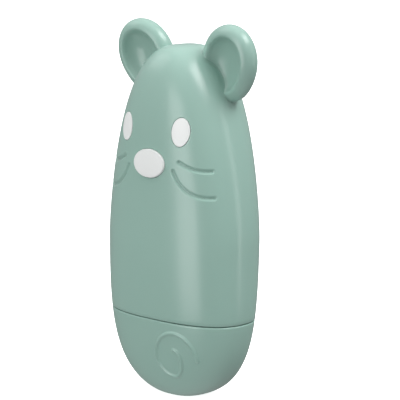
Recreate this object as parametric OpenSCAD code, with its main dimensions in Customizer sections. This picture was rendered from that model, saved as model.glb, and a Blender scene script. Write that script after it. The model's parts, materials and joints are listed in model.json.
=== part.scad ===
// Baby nail care set in a mouse-shaped case.
// A pull-off cover with two ears stands on a low base cup. A rack inside holds
// scissors, nail clipper, nail file and tweezers upright.
// Z is up, the face looks along -Y, and the origin is the middle of the flat foot.

/* [Case] */
// Height of the crown of the head above the foot
body_h = 140; // [120:1:170]
// Width of the case at its widest
body_w = 66.4; // [56:0.1:82]
// Depth of the case at its widest, front to back
body_d = 41.4; // [35:0.1:52]
// Height at which the case is widest
widest_z = 64.2; // [54:0.1:76]
// Height of the joint between cover and base
seam_z = 32.7; // [28:0.1:38]
// Visible gap at the joint between cover and base
seam_gap = 0.4; // [0.2:0.05:0.8]
// Wall of cover and base
wall = 2.2; // [1.8:0.1:2.8]
// How far the rounded bottom is cut away to make the flat foot
foot_cut = 0.8; // [0.4:0.1:2]

/* [Ears] */
// Distance of each ear's middle from the centre line
ear_x = 21.96; // [18:0.1:27]
// Distance of the ears' middle below the crown
ear_drop = 5.4; // [3:0.1:9]
// Half width of an ear
ear_half_w = 12.9; // [10:0.1:16]
// Half height of an ear
ear_half_h = 14.7; // [12:0.1:18]
// Thickness of an ear, front to back
ear_t = 8.4; // [6:0.1:10]
// Width of the rim round the hollow of an ear
ear_rim = 3.4; // [2.5:0.1:4.5]
// Depth of the hollow of an ear
ear_hollow = 4.6; // [3:0.1:5]
// Outward tilt of an ear in degrees
ear_tilt = 27.4; // [10:0.1:40]

/* [Face] */
// Distance of each eye from the centre line
eye_x = 14; // [10:0.1:18]
// Distance of the eyes below the crown
eye_drop = 32.2; // [26:0.1:38]
// Half width of an eye
eye_half_w = 3.6; // [2.5:0.1:5]
// Half height of an eye
eye_half_h = 5.5; // [4:0.1:7]
// Distance of the nose below the crown
nose_drop = 45.3; // [38:0.1:52]
// Half width of the nose
nose_half_w = 8; // [6:0.1:10]
// Half height of the nose
nose_half_h = 5.6; // [4:0.1:7.5]
// How far the eyes stand out of the face
eye_proud = 0.25; // [0.1:0.05:0.5]
// How far the nose stands out of the face
nose_proud = 0.9; // [0.4:0.05:1.4]
// Depth of the pockets that hold the eyes and the nose
pocket_depth = 1.1; // [0.8:0.05:1.3]
// Gap round an eye or the nose in its pocket
pocket_gap = 0.15; // [0.05:0.05:0.3]
// Width of a whisker groove
groove_w = 2; // [1:0.1:2.6]
// Depth of a whisker groove
groove_depth = 0.7; // [0.3:0.05:1]

/* [Tail] */
// Width of the raised tail line on the base
tail_w = 1.5; // [1:0.1:2.2]
// How far the tail line stands out of the base
tail_proud = 0.5; // [0.3:0.05:0.8]

/* [Rack] */
// Height of the rack's deck above the joint
rack_rise = 11; // [8:0.5:16]
// Wall of the rack's skirt and sockets
rack_wall = 1; // [0.8:0.1:1.5]
// Thickness of the rack's deck
deck_t = 2; // [1.5:0.1:3]
// Gap between the rack's neck and the cover
neck_gap = 0.3; // [0.2:0.05:0.5]
// Gap between the rack's skirt and the base
skirt_gap = 0.1; // [0.05:0.05:0.2]
// Depth of the rack's skirt below the joint
skirt_drop = 12; // [8:0.5:16]
// Free space round a tool in its socket
tool_gap = 0.6; // [0.4:0.1:1]

/* [Scissors] */
// Length from blade tip to the top of the finger rings
scissor_len = 92; // [80:1:104]
// Length from blade tip to the pivot
blade_len = 42; // [34:1:48]
// Width of a blade at the pivot
blade_w = 7; // [5:0.1:9]
// Width of the round blade tip
tip_w = 3.2; // [2.4:0.1:4]
// Thickness of a blade
blade_t = 1.4; // [1:0.1:1.8]
// Hole of a finger ring, across
ring_hole = 14.5; // [12:0.1:17]
// Width of the plastic round a finger ring
ring_w = 3.2; // [2.5:0.1:4]
// Thickness of the plastic handles
ring_t = 5; // [4:0.1:6]
// Diameter of the pivot screw
screw_d = 3; // [2.4:0.1:4]
// Angle that each half opens, in degrees
scissor_open = 15; // [10:1:18]

/* [Clipper] */
// Length of the clipper's tail past the end of its lever
clipper_tail = 6.4; // [5.5:0.1:10]
// Width of the clipper's jaws
clipper_w = 9; // [7:0.1:11]
// Thickness of a jaw
jaw_t = 1.4; // [1:0.1:1.8]
// Gap between the jaws at the cutting edges
jaw_gap = 1.8; // [1.2:0.1:2.4]
// Length of the clipper's lever
lever_len = 47; // [38:1:52]
// Diameter of the clipper's pin
pin_d = 3; // [2.4:0.1:3.6]

/* [File and tweezers] */
// Length of the file
file_len = 84; // [70:1:92]
// Width of the file's handle
file_w = 10; // [8:0.1:12]
// Thickness of the file's handle
file_t = 4; // [3:0.1:5]
// Width of the file's steel blade
file_blade_w = 6; // [4:0.1:7]
// Length of the tweezers
tweezer_len = 80; // [68:1:88]
// Width of a tweezer arm at its tail
tweezer_w = 7; // [5:0.1:8]
// Thickness of a tweezer arm
tweezer_t = 1.2; // [0.8:0.1:1.5]
// Gap between the tweezer tips
tweezer_gap = 5; // [3:0.1:6]

/* [Hidden] */

mint = [0.55, 0.68, 0.64];
white = [0.93, 0.94, 0.94];
steel = [0.75, 0.76, 0.78];

// Shape of the case: how fast it narrows above and below its widest height.
up_w = [1.5, 2.38];      // sides above
low_w = [4.2, 2.21];     // sides below
up_d = [4, 3.6];         // front and back above
low_d = [1.63, 3.6];     // front and back below
squareness = 2.48;       // 2 would make each level an ellipse
sides = 60;              // corners round one level
eps = 0.01;

eye_z = body_h - eye_drop;
nose_z = body_h - nose_drop;
ear_z = body_h - ear_drop;
floor_z = wall;

// Share of the greatest half width left at t, from 0 at the widest height to 1 at the end.
function swell(t, power) = pow(max(0, 1 - pow(min(1, t), power[0])), 1 / power[1]);
function reach(z, inset) = z >= widest_z
    ? (z - widest_z) / (body_h - inset - widest_z)
    : (widest_z - z) / (widest_z + foot_cut - inset);
function half_w(z, inset = 0) = (body_w / 2 - inset) * swell(reach(z, inset), z >= widest_z ? up_w : low_w);
function half_d(z, inset = 0) = (body_d / 2 - inset) * swell(reach(z, inset), z >= widest_z ? up_d : low_d);
function bend(v) = sign(v) * pow(abs(v), 2 / squareness);
function level(a, b, z) = [for (i = [0 : sides - 1]) let (t = 360 * i / sides)
    [a * bend(cos(t)), b * bend(sin(t)), z]];
function level_at(z, inset = 0) = level(half_w(z, inset), half_d(z, inset), z);

// Place of the front surface at x and z, as a value of y.
function front_y(x, z) = -half_d(z) * pow(max(0, 1 - pow(abs(x) / half_w(z), squareness)), 1 / squareness);
function on_front(p, out = 0) = [p[0], front_y(p[0], p[1]) - out, p[1]];

// Is the point x, y, z inside the wall of the case?
function inside(x, y, z, inset) =
    pow(abs(x) / half_w(z, inset), squareness) + pow(abs(y) / half_d(z, inset), squareness) < 1;
// Lowest height at which the corner x, y is inside the base.
function seat_z(x, y, z = floor_z + 1) =
    z > seam_z || inside(x, y, z, wall + skirt_gap) ? z : seat_z(x, y, z + 0.5);

// A closed skin over a stack of levels, all with the same number of corners.
module skin(levels) {
    n = len(levels[0]);
    last = len(levels) - 1;
    points = [for (l = levels) each l];
    polyhedron(points, concat(
        [[for (i = [0 : n - 1]) i]],
        [for (k = [0 : last - 1], i = [0 : n - 1]) let (j = (i + 1) % n, a = k * n, b = a + n)
            [a + i, b + i, b + j, a + j]],
        [[for (i = [n - 1 : -1 : 0]) last * n + i]]));
}

// Heights from z0 to the crown, closer together towards the crown.
crown_steps = 15;
function cover_heights(z0, inset) = concat(
    [for (k = [0 : 4]) z0 + (widest_z - z0) * k / 5],
    [for (k = [0 : crown_steps]) widest_z
        + (body_h - inset - 0.02 - widest_z) * sin(90 * k / crown_steps)]);
// Heights of the base, closer together towards the foot.
base_steps = 9;
function base_heights(z0, z1) = [for (k = [0 : base_steps]) z0 + (z1 - z0) * pow(k / base_steps, 1.7)];

// ---------------------------------------------------------------- ears
ear_y = 0.93;             // of the ears' middle behind the centre
ear_lean = [8.9, 0, -4.4]; // back and inwards, in degrees
module in_ear_place(side)
    mirror([side < 0 ? 1 : 0, 0, 0])
        translate([ear_x, ear_y, ear_z])
            rotate(ear_lean) rotate([0, ear_tilt, 0]) children();

module ear_blank() hull()
    for (i = [0 : 19]) let (t = 18 * i)
        translate([(ear_half_w - ear_t / 2) * cos(t), 0, (ear_half_h - ear_t / 2) * sin(t)])
            sphere(d = ear_t, $fn = 20);

bowl_rise = 0.4;          // of the hollow's middle in front of the rim
module ear_bowl()
    translate([0, -ear_t / 2 - bowl_rise, 0])
        scale([ear_half_w - ear_rim, ear_hollow + bowl_rise, ear_half_h - ear_rim]) sphere(1, $fn = 40);

module ear(side) in_ear_place(side) difference() {
    ear_blank();
    ear_bowl();
}

// ---------------------------------------------------------------- face
function curve(p, t) = p[0] * pow(1 - t, 2) + p[1] * 2 * t * (1 - t) + p[2] * pow(t, 2);

// A line of round beads along a curve on the front surface.
module bead_line(points, d, out, fn = 12)
    for (k = [0 : len(points) - 2]) hull() {
        translate(on_front(points[k], out)) sphere(d = d, $fn = fn);
        translate(on_front(points[k + 1], out)) sphere(d = d, $fn = fn);
    }

whisker_steps = 7;
upper_whisker = [[14.2, nose_z + 1.6], [20.6, nose_z - 1.9], [25.8, nose_z - 1.3]];
lower_whisker = [[11.7, nose_z - 2], [16.2, nose_z - 11.9], [27.2, nose_z - 11.5]];
function whisker_points(curve_points, side) = [for (k = [0 : whisker_steps])
    let (p = curve(curve_points, k / whisker_steps)) [side * p[0], p[1]]];

// A plate that follows the face: an oval of the face, from depth behind it to its
// own front. A crown makes the front stand out most in the middle.
inlay_rings = [1, 0.93, 0.8, 0.6, 0.35];
inlay_sides = 36;
module inlay(x, z, hw, hh, depth, crown, lift = 0) {
    n = inlay_sides;
    rings = len(inlay_rings);
    function spot(r, i) = [x + hw * r * cos(360 * i / n), z + hh * r * sin(360 * i / n)];
    function face(r, i) = on_front(spot(r, i), lift + crown * sqrt(1 - pow(r, 4)));
    function back(r, i) = on_front(spot(r, i), -depth);
    front_points = [for (r = inlay_rings, i = [0 : n - 1]) face(r, i)];
    back_points = [for (r = inlay_rings, i = [0 : n - 1]) back(r, i)];
    b = n * rings;
    polyhedron(
        concat(front_points, back_points, [on_front([x, z], lift + crown), on_front([x, z], -depth)]),
        concat(
            [for (k = [0 : rings - 2], i = [0 : n - 1]) let (j = (i + 1) % n)
                each [[k * n + i, k * n + n + i, k * n + j], [k * n + j, k * n + n + i, k * n + n + j]]],
            [for (k = [0 : rings - 2], i = [0 : n - 1]) let (j = (i + 1) % n)
                each [[b + k * n + i, b + k * n + j, b + k * n + n + i],
                      [b + k * n + j, b + k * n + n + j, b + k * n + n + i]]],
            [for (i = [0 : n - 1]) let (j = (i + 1) % n, c = (rings - 1) * n)
                each [[c + i, 2 * b, c + j], [b + c + i, b + c + j, 2 * b + 1]]],
            [for (i = [0 : n - 1]) let (j = (i + 1) % n) each [[i, j, b + i], [j, b + j, b + i]]]));
}

module eye(side) inlay(side * eye_x, eye_z, eye_half_w, eye_half_h, pocket_depth, eye_proud);
module eye_pocket(side) inlay(side * eye_x, eye_z, eye_half_w + pocket_gap, eye_half_h + pocket_gap,
    pocket_depth + 2 * eps, 0, 3);
module nose_pocket() inlay(0, nose_z, nose_half_w + pocket_gap, nose_half_h + pocket_gap,
    pocket_depth + 2 * eps, 0, 3);

module left_eye() color(white) eye(-1);
module right_eye() color(white) eye(1);
module nose_button() color(white)
    inlay(0, nose_z, nose_half_w, nose_half_h, pocket_depth, nose_proud);

// ---------------------------------------------------------------- cover and base
cover_z = seam_z + seam_gap / 2;
module cover_shell() color(mint) difference() {
    union() {
        skin([for (z = cover_heights(cover_z, 0)) level_at(z)]);
        for (side = [-1, 1]) ear(side);
    }
    skin([for (z = cover_heights(cover_z - 1, wall)) level_at(z, wall)]);
    for (side = [-1, 1]) {
        eye_pocket(side);
        for (w = [upper_whisker, lower_whisker])
            bead_line(whisker_points(w, side), groove_w, groove_w / 2 - groove_depth);
    }
    nose_pocket();
}

// The tail line is three half ovals, each larger than the one before, that lean to one side.
tail_x = 9;               // of its lowest point
tail_z = seam_z - 16.3;   // it keeps its distance below the joint
tail_lean = 0.11;         // sideways for each mm up
tail_steps = 8;
function half_oval(z, rx, rz, from, to) = [for (k = [0 : tail_steps])
    let (t = from + (to - from) * k / tail_steps, up = z + rz * sin(t))
    [tail_x + rx * cos(t) + tail_lean * (up - tail_z + 6.3), up]];
tail_points = concat(
    half_oval(tail_z - 0.6, 3.6, 5.7, 90, -90),
    half_oval(tail_z + 2.9, 8.7, 9.1, 270, 90),
    half_oval(tail_z, 10.4, 12, 90, 8));

base_z = seam_z - seam_gap / 2;
module base_cup() color(mint) difference() {
    union() {
        skin([for (z = base_heights(0, base_z)) level_at(z)]);
        bead_line(tail_points, tail_w, tail_proud - tail_w / 2, 10);
    }
    skin([for (z = concat(base_heights(floor_z, base_z), [base_z + 1])) level_at(z, wall)]);
}

// ---------------------------------------------------------------- where the tools stand
// Each socket is [x, y, [width, thickness], floor height].
deck_z = seam_z + rack_rise;
file_blade_t = 1;
screw_room = 1.8;                                       // for both heads of the pivot screw
scissor_swing = blade_len * sin(scissor_open * 0.55);   // sideways reach of a tip as it leaves the deck
jaw_stack = 2 * jaw_t + jaw_gap;
clipper_grip_w = clipper_w + 2.4;
tweezer_spread = tweezer_gap + 2 * tweezer_t + 0.8;
scissor_slot = [blade_w + 2 * scissor_swing, max(ring_t, 2 * blade_t + screw_room) + 2 * tool_gap];
file_slot = [file_blade_w + 2 * tool_gap, file_t + 2 * tool_gap];
clipper_slot = [clipper_w + 2 * tool_gap, jaw_stack + 1.2 + 2 * tool_gap];
tweezer_slot = [tweezer_spread + 2 * tool_gap, tweezer_w + 1 + 2 * tool_gap];

// A wall runs between the rear row and the front row.
row_y = 2.6;
front_back_y = row_y - rack_wall / 2 - tool_gap;        // back of the tools in the front row
rear_y = row_y + (rack_wall + scissor_slot[1]) / 2;
file_y = front_back_y - file_t / 2;
tweezer_y = front_back_y - (tweezer_w + 1) / 2;
clipper_y = front_back_y + tool_gap - clipper_slot[1] / 2;
clipper_x = -(file_w / 2 + 1 + clipper_grip_w / 2);
tweezer_x = file_w / 2 + 1 + tweezer_spread / 2 + 2.4;

// The clipper stands on a shallow socket, so that its lever ends above the deck.
pin_drop = 9;
lever_reach = 2.4;                                      // of the lever past its pivot
clipper_len = clipper_tail + lever_len - lever_reach + pin_drop;

function corner_seat(x, y, slot) = seat_z(
    abs(x) + slot[0] / 2 + rack_wall, abs(y) + slot[1] / 2 + rack_wall) + rack_wall;
scissor_z = corner_seat(0, rear_y, scissor_slot);
file_z = corner_seat(0, file_y, file_slot);
clipper_z = max(corner_seat(clipper_x, clipper_y, clipper_slot), deck_z + 1 - clipper_tail);
tweezer_z = corner_seat(tweezer_x, tweezer_y, tweezer_slot);
sockets = [
    [0, rear_y, scissor_slot, scissor_z],
    [0, file_y, file_slot, file_z],
    [clipper_x, clipper_y, clipper_slot, clipper_z],
    [tweezer_x, tweezer_y, tweezer_slot, tweezer_z]];

module socket_block(s, grow, z0, z1)
    translate([s[0] - s[2][0] / 2 - grow, s[1] - s[2][1] / 2 - grow, z0])
        cube([s[2][0] + 2 * grow, s[2][1] + 2 * grow, z1 - z0]);

// A socket's mouth is cut wider at the top, so that a tool finds its way in.
mouth = 0.6;
module socket_mouth(s) {
    hull() {
        socket_block(s, 0, deck_z - mouth, deck_z - mouth + eps);
        socket_block(s, mouth, deck_z, deck_z + eps);
    }
    hull() {
        socket_block(s, eps, s[3] + eps, s[3] + 2 * eps);
        socket_block(s, eps, deck_z - deck_t, deck_z - deck_t + eps);
    }
}

neck_w = half_w(seam_z, wall) - neck_gap;
neck_d = half_d(seam_z, wall) - neck_gap;
skirt_z = seam_z - skirt_drop;
module rack_outline(inset, z0, z1) skin(concat(
    [for (k = [0 : 4]) let (z = z0 + (base_z - z0) * k / 4)
        level(half_w(z, wall) - skirt_gap - inset, half_d(z, wall) - skirt_gap - inset, z)],
    [level(neck_w - inset, neck_d - inset, base_z + 0.1), level(neck_w - inset, neck_d - inset, z1)]));

module tool_rack() color(white) difference() {
    union() {
        difference() {
            rack_outline(0, skirt_z, deck_z);
            rack_outline(rack_wall + 0.4, skirt_z - eps, deck_z - deck_t);
        }
        for (s = sockets) socket_block(s, rack_wall, s[3] - rack_wall, deck_z - eps);
    }
    for (s = sockets) {
        socket_block(s, 0, s[3], deck_z + 1);
        socket_mouth(s);
    }
}

// ---------------------------------------------------------------- scissors
half_gap = 0.05;          // between the two blades
tip_z = scissor_z + 0.5;
pivot_z = tip_z + blade_len;
ring_r = ring_hole / 2 + ring_w;
ring_z = tip_z + scissor_len - ring_r;
ring_x = ring_r + 0.3;
tang_top = ring_z - ring_r + 1.5;
stem_z = pivot_z + 11;
tang_gap = 0.03;
screw_gap = 0.05;

// Outline of one blade with its tang, the tang leaning to the side of +X.
module blade_outline() polygon([
    [-tip_w / 2, tip_z + 1.2], [-tip_w / 4, tip_z + 0.2], [tip_w / 4, tip_z + 0.2], [tip_w / 2, tip_z + 1.2],
    [blade_w / 2 - 0.3, pivot_z - 6], [blade_w / 2, pivot_z + 1], [ring_x * 0.45 + 2.2, tang_top - 6],
    [ring_x * 0.62 + 1.6, tang_top], [ring_x * 0.62 - 1.6, tang_top], [ring_x * 0.45 - 2.2, tang_top - 7],
    [0.6, stem_z - 2], [-blade_w / 2, pivot_z + 3], [-blade_w / 2, pivot_z - 4]]);

// Lays an outline drawn in X and Z upright, y0 to y0 + t.
module upright(y0, t) translate([0, y0 + t, 0]) rotate([90, 0, 0]) linear_extrude(t) children();

module blade(side, y0) difference() {
    mirror([side < 0 ? 1 : 0, 0, 0]) upright(y0, blade_t) blade_outline();
    translate([0, y0 - 1, pivot_z]) rotate([-90, 0, 0]) cylinder(d = screw_d + 2 * screw_gap, h = blade_t + 2, $fn = 48);
}
blade_front_y = rear_y - half_gap - blade_t;
blade_rear_y = rear_y + half_gap;

module scissor_blade_front() color(steel) blade(1, blade_front_y);
module scissor_blade_rear() color(steel) blade(-1, blade_rear_y);

// A handle is a ring with a stem that holds the tang.
module handle(side, y0) mirror([side < 0 ? 1 : 0, 0, 0]) difference() {
    union() {
        translate([ring_x, rear_y + ring_t / 2, ring_z]) rotate([90, 0, 0]) cylinder(r = ring_r, h = ring_t, $fn = 64);
        upright(rear_y - ring_t / 2, ring_t) polygon([
            [0.4, stem_z], [ring_x * 0.45 + 3.8, stem_z], [ring_x + ring_r * 0.75, ring_z - ring_r * 0.6],
            [ring_x, ring_z], [0.4, ring_z - 2]]);
    }
    translate([ring_x, rear_y + ring_t / 2 + 1, ring_z]) rotate([90, 0, 0])
        cylinder(d = ring_hole, h = ring_t + 2, $fn = 64);
    upright(y0 - tang_gap, blade_t + 2 * tang_gap) intersection() {
        offset(delta = tang_gap) blade_outline();
        translate([-ring_x, stem_z - 1]) square([3 * ring_x, scissor_len]);
    }
}
module scissor_handle_right() color(mint) handle(1, blade_front_y);
module scissor_handle_left() color(mint) handle(-1, blade_rear_y);

screw_head = 0.9;         // height of a head
screw_head_d = 5;
slot_w = 0.7;             // of the screwdriver slot
slot_depth = 0.4;
module scissor_pivot_screw() color(steel)
    translate([0, rear_y, pivot_z]) rotate([90, 0, 0]) difference() {
        union() {
            cylinder(d = screw_d, h = 2 * blade_t + 2 * half_gap + 2 * eps, center = true, $fn = 48);
            for (end = [-1, 1]) translate([0, 0, end * (blade_t + half_gap + eps + screw_head / 2)])
                cylinder(d = screw_head_d, h = screw_head, center = true, $fn = 48);
        }
        translate([-screw_head_d / 2 - 1, -slot_w / 2, blade_t + half_gap + screw_head - slot_depth])
            cube([screw_head_d + 2, slot_w, 1]);
    }

// ---------------------------------------------------------------- clipper
// It stands on its tail. The jaws meet at the top, the lever hangs down the front.
clip_z = clipper_z + 0.3;
clip_top = clip_z + clipper_len;
clip_pin_z = clip_top - pin_drop;
clip_y = front_back_y - jaw_stack / 2;                  // middle of the gap between the jaws
rivet_z = clip_z + 4;
rivet_d = 3;
rivet_play = 0.08;
cutting_gap = jaw_gap - 0.4;
curl = 5;                                               // height over which a jaw curls in

// An outline drawn in Y and Z, carried w wide along X.
module side_plate(w) translate([clipper_x - w / 2, 0, 0]) rotate([90, 0, 90]) linear_extrude(w) children();
module along_y(d, y0, y1) translate([clipper_x, y1, 0]) rotate([90, 0, 0]) cylinder(d = d, h = y1 - y0, $fn = 48);

module jaw(side) difference() {
    translate([0, clip_y, 0]) mirror([0, side < 0 ? 1 : 0, 0]) side_plate(clipper_w) polygon([
        [jaw_gap / 2, clip_z], [jaw_gap / 2 + jaw_t, clip_z], [jaw_gap / 2 + jaw_t, clip_top - curl],
        [cutting_gap / 2 + 0.6, clip_top], [cutting_gap / 2, clip_top], [jaw_gap / 2, clip_top - curl]]);
    translate([0, 0, clip_pin_z]) along_y(pin_d + 0.8, clip_y - jaw_stack, clip_y + jaw_stack);
    translate([0, 0, rivet_z]) along_y(rivet_d + 0.3, clip_y - jaw_stack, clip_y + jaw_stack);
}
module clipper_lower_jaw() color(steel) jaw(1);
module clipper_upper_jaw() color(steel) jaw(-1);

module clipper_tail_rivet() color(steel) translate([0, 0, rivet_z]) {
    far = jaw_stack / 2;
    along_y(rivet_d, clip_y - far - rivet_play - 0.1, clip_y + far + 0.1);
    along_y(rivet_d + 1.8, clip_y - jaw_gap / 2 + rivet_play, clip_y + jaw_gap / 2 - eps);
    along_y(rivet_d + 1.6, clip_y - far - rivet_play - 0.5, clip_y - far - rivet_play);
    along_y(rivet_d + 1.6, clip_y + far + eps, clip_y + far + 0.5);
}

// The pin's round head holds the lower jaw. Its T-shaped end is the pivot of the lever.
pivot_y = clip_y - jaw_stack / 2 - lever_reach - 0.3;
lever_t = 1.2;
bar_d = 1.4;
knuckle_d = 2.8;
knuckle_w = 2.2;
fork_w = pin_d + 0.4;
module along_x(d, x0, x1) translate([clipper_x + x0, pivot_y, clip_pin_z]) rotate([0, 90, 0])
    cylinder(d = d, h = x1 - x0, $fn = 48);
module clipper_pin() color(steel) {
    translate([0, 0, clip_pin_z]) {
        along_y(pin_d, pivot_y - 1.2, clip_y + jaw_stack / 2 + 0.3);
        along_y(pin_d + 2, clip_y + jaw_stack / 2 + 0.02, clip_y + jaw_stack / 2 + 0.6);
    }
    along_x(bar_d, -fork_w / 2 - knuckle_w, fork_w / 2 + knuckle_w);
}

lever_low = clip_pin_z + lever_reach - lever_len;
lever_w = clipper_w - 0.6;
fork_low = 2;                                           // of the fork below the pivot
module clipper_lever() color(steel) difference() {
    union() {
        side_plate(lever_w) polygon([
            [pivot_y + lever_t / 2, lever_low], [pivot_y + lever_t / 2, clip_pin_z],
            [pivot_y - lever_t / 2, clip_pin_z], [pivot_y - lever_t / 2, lever_low]]);
        along_x(knuckle_d, -fork_w / 2 - knuckle_w, fork_w / 2 + knuckle_w);
    }
    translate([clipper_x - fork_w / 2, pivot_y - 3, clip_pin_z - fork_low]) cube([fork_w, 6, 6]);
    along_x(bar_d + 0.1, -clipper_w, clipper_w);
}

grip_corner = 2.5;                                      // corner radius of the soft grips
grip_t = 1.6;
grip_len = lever_len - 14;
// A bar with rounded corners, lying in X and Y, t thick along Z.
module rounded_bar(w, h, t, r) linear_extrude(t) {
    square([w - 2 * r, h], center = true);
    square([w, h - 2 * r], center = true);
    for (sx = [-1, 1], sy = [-1, 1]) translate([sx * (w / 2 - r), sy * (h / 2 - r)]) circle(r, $fn = 48);
}
module clipper_lever_grip() color(mint)
    translate([clipper_x, pivot_y - lever_t / 2, lever_low + grip_len / 2]) rotate([90, 0, 0])
        rounded_bar(clipper_grip_w - 1, grip_len, grip_t, grip_corner);

body_grip_t = 1.4;
body_grip_z0 = deck_z + 1.5;
body_grip_z1 = clip_pin_z - 5;
module clipper_body_grip() color(mint)
    translate([clipper_x, front_back_y + body_grip_t, (body_grip_z0 + body_grip_z1) / 2]) rotate([90, 0, 0])
        rounded_bar(clipper_grip_w, body_grip_z1 - body_grip_z0, body_grip_t, grip_corner);

// ---------------------------------------------------------------- file
file_low = file_z + 0.3;
file_grip_z = deck_z + 6;
blade_hold = 12;                                        // length of the blade inside the handle
file_corner = 4;
module file_blade() color(steel) upright(file_y - file_blade_t / 2, file_blade_t)
    polygon([[-file_blade_w / 2, file_low + 3], [-1, file_low], [1, file_low], [file_blade_w / 2, file_low + 3],
        [file_blade_w / 2, file_grip_z + blade_hold], [-file_blade_w / 2, file_grip_z + blade_hold]]);
module file_handle() color(mint) difference() {
    translate([0, file_y + file_t / 2, (file_grip_z + file_low + file_len) / 2]) rotate([90, 0, 0])
        rounded_bar(file_w, file_low + file_len - file_grip_z, file_t, file_corner);
    translate([-file_blade_w / 2 - tang_gap, file_y - file_blade_t / 2 - tang_gap, file_grip_z - 1])
        cube([file_blade_w + 2 * tang_gap, file_blade_t + 2 * tang_gap, blade_hold + 1 + tang_gap]);
}

// ---------------------------------------------------------------- tweezers
// Tips down. The two arms are riveted at the tail with a thin washer between them,
// bow apart and end in tips that lean together.
tweeze_low = tweezer_z + 0.3;
tweeze_top = tweeze_low + tweezer_len;
tweeze_rivet_z = tweeze_top - 6;
tweeze_split = tweeze_top - 12;
tail_half = 0.3;
bow_z = tweeze_low + 30;                                // where the arms are furthest apart
arm_x = tweezer_gap / 2;
bow_x = arm_x + tweezer_t + 0.4;
tail_x1 = tail_half + tweezer_t;
tip_lean = 0.5;
module arm_side() polygon([
    [arm_x - tip_lean, tweeze_low], [arm_x - tip_lean + 0.7, tweeze_low], [arm_x + tweezer_t, tweeze_low + 5],
    [bow_x, bow_z], [tail_x1, tweeze_split], [tail_x1, tweeze_top],
    [tail_half, tweeze_top], [tail_half, tweeze_split], [bow_x - tweezer_t, bow_z], [arm_x, tweeze_low + 5]]);
module arm_front() polygon([
    [-1, tweeze_low], [1, tweeze_low], [tweezer_w / 2, tweeze_low + 34], [tweezer_w / 2, tweeze_top - 2],
    [tweezer_w / 2 - 2, tweeze_top], [-tweezer_w / 2 + 2, tweeze_top], [-tweezer_w / 2, tweeze_top - 2],
    [-tweezer_w / 2, tweeze_low + 34]]);
module tweezer_place(side) translate([tweezer_x, tweezer_y, 0]) mirror([side < 0 ? 1 : 0, 0, 0]) children();
module tweezer_arm(side) tweezer_place(side) difference() {
    intersection() {
        translate([0, tweezer_w / 2, 0]) rotate([90, 0, 0]) linear_extrude(tweezer_w) arm_side();
        rotate([90, 0, 90]) linear_extrude(tweezer_spread + 4) arm_front();
    }
    translate([0, 0, tweeze_rivet_z]) rotate([0, 90, 0]) cylinder(d = rivet_d + 0.16, h = 30, center = true, $fn = 48);
}
module tweezer_arm_left() color(steel) tweezer_arm(-1);
module tweezer_arm_right() color(steel) tweezer_arm(1);

pad_t = 1.4;
pad_low = deck_z + 2;
pad_len = 22;
// Outer face of an arm at height z.
function outer_x(z) = z <= bow_z ? bow_x : bow_x + (tail_x1 - bow_x) * (z - bow_z) / (tweeze_split - bow_z);
// A pad is a rounded bar with the arm's outer side cut out of it.
module tweezer_pad(side) tweezer_place(side) difference() {
    translate([0, 0, pad_low + pad_len / 2]) rotate([90, 0, 90])
        rounded_bar(tweezer_w + 1, pad_len, bow_x + pad_t, grip_corner);
    translate([0, tweezer_w, 0]) rotate([90, 0, 0]) linear_extrude(2 * tweezer_w) polygon(concat(
        [[-1, pad_low + pad_len + 1], [-1, pad_low - 1]],
        [for (z = [pad_low - 1, bow_z, pad_low + pad_len + 1]) if (z == bow_z || abs(z - pad_low) > 0.5)
            [outer_x(z) + eps, z]]));
}
module tweezer_grip_left() color(mint) tweezer_pad(-1);
module tweezer_grip_right() color(mint) tweezer_pad(1);

module tweezer_tail_rivet() color(steel) translate([tweezer_x, tweezer_y, tweeze_rivet_z]) rotate([0, 90, 0]) {
    far = tail_x1 + rivet_play;
    cylinder(d = rivet_d, h = 2 * far + 0.2, center = true, $fn = 48);
    cylinder(d = rivet_d + 1.6, h = 2 * (tail_half - rivet_play), center = true, $fn = 48);
    for (end = [-1, 1]) translate([0, 0, end * (far + 0.25)])
        cylinder(d = rivet_d + 1.4, h = 0.5, center = true, $fn = 48);
}

cover_shell();
left_eye();
right_eye();
nose_button();
base_cup();
tool_rack();
scissor_blade_front();
scissor_blade_rear();
scissor_handle_right();
scissor_handle_left();
scissor_pivot_screw();
clipper_lower_jaw();
clipper_upper_jaw();
clipper_tail_rivet();
clipper_pin();
clipper_lever();
clipper_lever_grip();
clipper_body_grip();
file_blade();
file_handle();
tweezer_arm_left();
tweezer_arm_right();
tweezer_grip_left();
tweezer_grip_right();
tweezer_tail_rivet();
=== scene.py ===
# %% [markdown]
# # A nail care set in a mouse-shaped case
# The object is a hard plastic case: a long cover with two cupped ears pulls off a low base cup.
# A rack in the base holds scissors, a clipper, a file and tweezers. The engineering model gives
# every size and joint; here each part gets its finished surface and its material.
# Everything is in metres, in the frame of the engineering model: +Z up, the face looks along -Y.

# %% Load the frame
import json
import math

import bmesh
import bpy
import numpy as np
from mathutils import Matrix, Vector


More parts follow.
